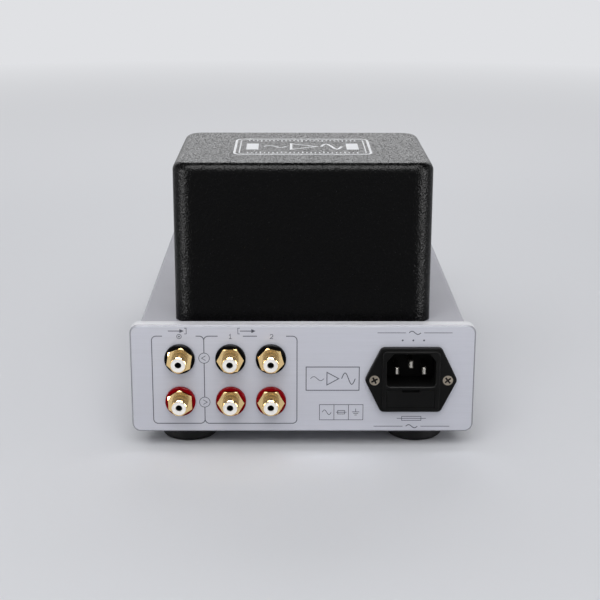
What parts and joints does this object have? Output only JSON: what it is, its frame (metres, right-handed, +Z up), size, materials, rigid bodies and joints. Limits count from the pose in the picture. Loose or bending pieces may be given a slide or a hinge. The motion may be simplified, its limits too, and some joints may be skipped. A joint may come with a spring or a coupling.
{
  "type": "valve line preamplifier",
  "caption": "Valve line preamplifier with a silver chassis, a black transformer cover, phono sockets and a mains inlet at the rear.",
  "frame": {"origin": "centre of the footprint box on the table, under the feet", "axes": "+Z up, front panel with the power button faces -Y, rear panel with the sockets faces +Y, +X is to the right of someone facing the front"},
  "size_m": [0.175, 0.2962, 0.147],
  "materials": {
    "panel_aluminium": "brushed, clear anodised",
    "chassis_paint": "fine satin silver paint",
    "base_steel": "satin silver paint",
    "foot_rubber": "matt black moulded rubber",
    "screw_steel": "nickel plated",
    "cover_paint": "black wrinkle paint",
    "core_steel": "stacked laminations, varnished",
    "bobbin_plastic": "moulded nylon",
    "winding_copper": "enamelled copper wire",
    "bracket_steel": "zinc plated",
    "grommet_rubber": "black rubber",
    "jack_gold": "gold plated, polished",
    "collar_black": "gloss black insulator",
    "collar_red": "gloss red insulator",
    "dielectric_white": "white fluoroplastic",
    "inlet_plastic": "fine textured black moulding",
    "pin_nickel": "nickel plated",
    "fuse_glass": "clear glass",
    "button_aluminium": "turned, dished face",
    "bezel_chrome": "polished",
    "switch_plastic": "black moulding",
    "lamp_lens": "clear blue tinted",
    "socket_ceramic": "glazed",
    "valve_base_plastic": "dark brown phenolic",
    "valve_pin_metal": "tinned",
    "valve_glass": "clear glass",
    "electrode_metal": "dark carbonised nickel",
    "board_laminate": "green lacquered laminate",
    "standoff_brass": "plain brass",
    "capacitor_sleeve": "shrunk sleeve",
    "film_capacitor": "moulded case"
  },
  "bodies": {
    "unit": {"base_screws": "screw_steel", "bezel_nut": "bezel_chrome", "board_standoffs": "standoff_brass", "bottom_plate": "base_steel", "button_bezel": "bezel_chrome", "chassis_shell": "chassis_paint", "circuit_board": "board_laminate", "coupling_capacitors": "film_capacitor", "cover_screws": "screw_steel", "filter_capacitors": "capacitor_sleeve", "foot_front_left": "foot_rubber", "foot_front_right": "foot_rubber", "foot_rear_left": "foot_rubber", "foot_rear_right": "foot_rubber", "foot_screws": "screw_steel", "front_panel": "panel_aluminium", "inlet_housing": "inlet_plastic", "inlet_pins": "pin_nickel", "inlet_screws": "screw_steel", "input_left_jack": "jack_gold", "input_right_jack": "jack_gold", "jack_contacts": "jack_gold", "jack_dielectrics": "dielectric_white", "jack_inner_washers": "collar_black", "jack_nuts": "jack_gold", "jack_tags": "jack_gold", "left_collars": "collar_black", "output_1_left_jack": "jack_gold", "output_1_right_jack": "jack_gold", "output_2_left_jack": "jack_gold", "output_2_right_jack": "jack_gold", "panel_screws": "screw_steel", "pilot_bezel": "bezel_chrome", "pilot_lens": "lamp_lens", "power_switch": "switch_plastic", "rear_panel": "panel_aluminium", "right_collars": "collar_red", "socket_rings": "bezel_chrome", "socket_screws": "screw_steel", "transformer_bobbin": "bobbin_plastic", "transformer_bolts": "screw_steel", "transformer_bracket": "bracket_steel", "transformer_core": "core_steel", "transformer_cover": "cover_paint", "transformer_windings": "winding_copper", "valve_socket_left": "socket_ceramic", "valve_socket_right": "socket_ceramic", "wire_grommet": "grommet_rubber"},
    "drawer": {"fuse_drawer": "inlet_plastic", "fuse_glass": "fuse_glass", "fuse_caps": "pin_nickel"},
    "button": {"power_button": "button_aluminium"},
    "left_valve": {"valve_left_base": "valve_base_plastic", "valve_left_pins": "valve_pin_metal", "valve_left_bulb": "valve_glass", "valve_left_electrodes": "electrode_metal"},
    "right_valve": {"valve_right_base": "valve_base_plastic", "valve_right_pins": "valve_pin_metal", "valve_right_bulb": "valve_glass", "valve_right_electrodes": "electrode_metal"}
  },
  "joints": [
    {"name": "fuse_drawer_slide", "type": "slide", "parent": "unit", "child": "drawer", "axis": [0, 1, 0], "range_m": [0, 0.018]},
    {"name": "power_button_press", "type": "slide", "parent": "unit", "child": "button", "axis": [0, 1, 0], "range_m": [0, 0.0028], "stiffness_N_per_m": 600, "springref_m": -0.001},
    {"name": "valve_left_pull", "type": "slide", "parent": "unit", "child": "left_valve", "axis": [0, 0, 1], "range_m": [0, 0.02]},
    {"name": "valve_right_pull", "type": "slide", "parent": "unit", "child": "right_valve", "axis": [0, 0, 1], "range_m": [0, 0.02]}
  ]
}
